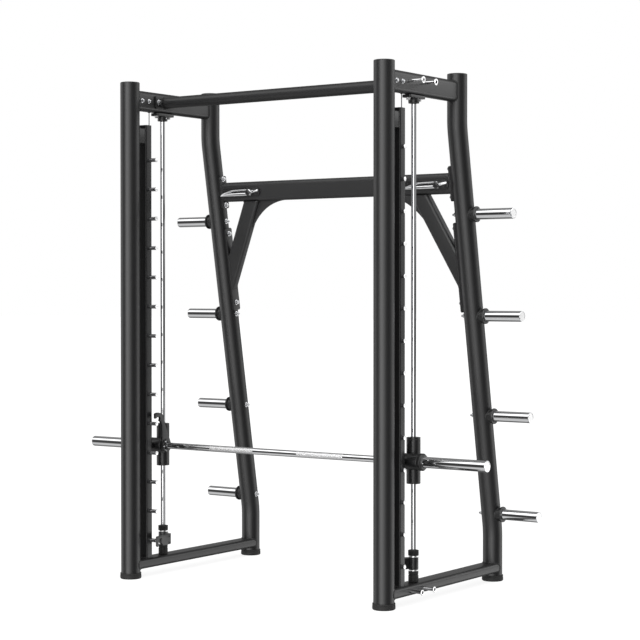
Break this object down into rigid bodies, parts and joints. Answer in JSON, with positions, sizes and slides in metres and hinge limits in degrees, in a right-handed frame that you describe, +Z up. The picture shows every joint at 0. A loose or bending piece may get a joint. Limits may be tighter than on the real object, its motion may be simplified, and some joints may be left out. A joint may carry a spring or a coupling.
{
  "type": "smith machine",
  "caption": "Smith machine: a counterbalanced barbell slides on vertical guide rods in an open steel frame, with racking pegs, safety stops, plate horns and a pull-up bar.",
  "frame": {"origin": "on the floor, midway between the feet from side to side and from front to back", "axes": "+Z up; +X to the right for someone facing the machine from the front, along the bar; -Y to the front, where the upright pair and the peg columns stand"},
  "size_m": [2.2, 1.021, 2.314],
  "materials": {
    "frame_paint": "satin black powder coat, fine texture",
    "clamp_paint": "satin black",
    "carriage_paint": "satin black",
    "hook_paint": "satin black",
    "cap_plastic": "moulded, matte",
    "foot_rubber": "moulded, matte",
    "base_rubber": "moulded, matte",
    "bumper_rubber": "ribbed, matte",
    "pulley_plastic": "turned nylon, matte",
    "chrome": "polished",
    "bar_chrome": "polished, with a knurled grip",
    "wire_steel": "stranded wire",
    "weight_steel": "turned, bare"
  },
  "bodies": {
    "frame": {"front_upright_left": "frame_paint", "rear_upright_left": "frame_paint", "foot_cap_front_left": "foot_rubber", "top_cap_front_left": "cap_plastic", "foot_cap_rear_left": "foot_rubber", "top_cap_rear_left": "cap_plastic", "top_beam_left": "frame_paint", "bottom_beam_left": "frame_paint", "peg_column_left": "frame_paint", "brace_left": "frame_paint", "guide_rod_left": "chrome", "rod_clamp_left": "clamp_paint", "rod_base_left": "base_rubber", "cleat_left": "chrome", "plate_horn_left_1": "chrome", "plate_horn_left_2": "chrome", "plate_horn_left_3": "chrome", "plate_horn_left_4": "chrome", "band_pegs_top_left": "chrome", "band_pegs_bottom_left": "chrome", "cable_left": "wire_steel", "front_upright_right": "frame_paint", "rear_upright_right": "frame_paint", "foot_cap_front_right": "foot_rubber", "top_cap_front_right": "cap_plastic", "foot_cap_rear_right": "foot_rubber", "top_cap_rear_right": "cap_plastic", "top_beam_right": "frame_paint", "bottom_beam_right": "frame_paint", "peg_column_right": "frame_paint", "brace_right": "frame_paint", "guide_rod_right": "chrome", "rod_clamp_right": "clamp_paint", "rod_base_right": "base_rubber", "cleat_right": "chrome", "plate_horn_right_1": "chrome", "plate_horn_right_2": "chrome", "plate_horn_right_3": "chrome", "plate_horn_right_4": "chrome", "band_pegs_top_right": "chrome", "band_pegs_bottom_right": "chrome", "cable_right": "wire_steel", "pull_up_bar": "frame_paint", "rear_crossbar": "frame_paint"},
    "carriage": {"carriage_left": "carriage_paint", "carriage_right": "carriage_paint"},
    "bar": {"barbell": "bar_chrome", "bar_hook_left": "hook_paint", "bar_hook_right": "hook_paint"},
    "counterweight_left": {"counterweight_left": "weight_steel"},
    "pulley_front_left": {"pulley_front_left": "pulley_plastic"},
    "pulley_back_left": {"pulley_back_left": "pulley_plastic"},
    "stop_left": {"stop_bumper_left": "bumper_rubber"},
    "catch_left": {"stop_catch_left": "hook_paint"},
    "counterweight_right": {"counterweight_right": "weight_steel"},
    "pulley_front_right": {"pulley_front_right": "pulley_plastic"},
    "pulley_back_right": {"pulley_back_right": "pulley_plastic"},
    "stop_right": {"stop_bumper_right": "bumper_rubber"},
    "catch_right": {"stop_catch_right": "hook_paint"}
  },
  "joints": [
    {"name": "bar_lift", "type": "slide", "parent": "frame", "child": "carriage", "axis": [0, 0, 1], "range_m": [-0.2746, 1.4], "deforming": ["cable_left", "cable_right"]},
    {"name": "bar_turn", "type": "hinge", "parent": "carriage", "child": "bar", "pos_m": [0, -0.2742, 0.6107], "axis": [-1, 0, 0], "range_deg": [-17, 45]},
    {"name": "counterweight_left_slide", "type": "slide", "parent": "frame", "child": "counterweight_left", "axis": [0, 0, 1], "range_m": [-1.41, 0.28]},
    {"name": "pulley_front_left_spin", "type": "hinge", "parent": "frame", "child": "pulley_front_left", "pos_m": [-0.706, -0.403, 2.232], "axis": [1, 0, 0], "range_deg": [-700, 3500]},
    {"name": "pulley_back_left_spin", "type": "hinge", "parent": "frame", "child": "pulley_back_left", "pos_m": [-0.706, -0.349, 2.232], "axis": [1, 0, 0], "range_deg": [-700, 3500]},
    {"name": "stop_left_slide", "type": "slide", "parent": "frame", "child": "stop_left", "axis": [0, 0, 1], "range_m": [0, 0.2746]},
    {"name": "stop_left_swivel", "type": "hinge", "parent": "stop_left", "child": "catch_left", "pos_m": [-0.706, -0.2277, 0.166], "axis": [0, 0, 1], "range_deg": [-12, 60]},
    {"name": "counterweight_right_slide", "type": "slide", "parent": "frame", "child": "counterweight_right", "axis": [0, 0, 1], "range_m": [-1.41, 0.28]},
    {"name": "pulley_front_right_spin", "type": "hinge", "parent": "frame", "child": "pulley_front_right", "pos_m": [0.706, -0.403, 2.232], "axis": [1, 0, 0], "range_deg": [-700, 3500]},
    {"name": "pulley_back_right_spin", "type": "hinge", "parent": "frame", "child": "pulley_back_right", "pos_m": [0.706, -0.349, 2.232], "axis": [1, 0, 0], "range_deg": [-700, 3500]},
    {"name": "stop_right_slide", "type": "slide", "parent": "frame", "child": "stop_right", "axis": [0, 0, 1], "range_m": [0, 0.2746]},
    {"name": "stop_right_swivel", "type": "hinge", "parent": "stop_right", "child": "catch_right", "pos_m": [0.706, -0.2277, 0.166], "axis": [0, 0, -1], "range_deg": [-12, 60]}
  ],
  "couplings": [
    {"joint": "counterweight_left_slide", "follows": "bar_lift", "ratio": -1},
    {"joint": "pulley_front_left_spin", "follows": "bar_lift", "rad_per_m": 42.553},
    {"joint": "pulley_back_left_spin", "follows": "bar_lift", "rad_per_m": 42.553},
    {"joint": "counterweight_right_slide", "follows": "bar_lift", "ratio": -1},
    {"joint": "pulley_front_right_spin", "follows": "bar_lift", "rad_per_m": 42.553},
    {"joint": "pulley_back_right_spin", "follows": "bar_lift", "rad_per_m": 42.553}
  ]
}
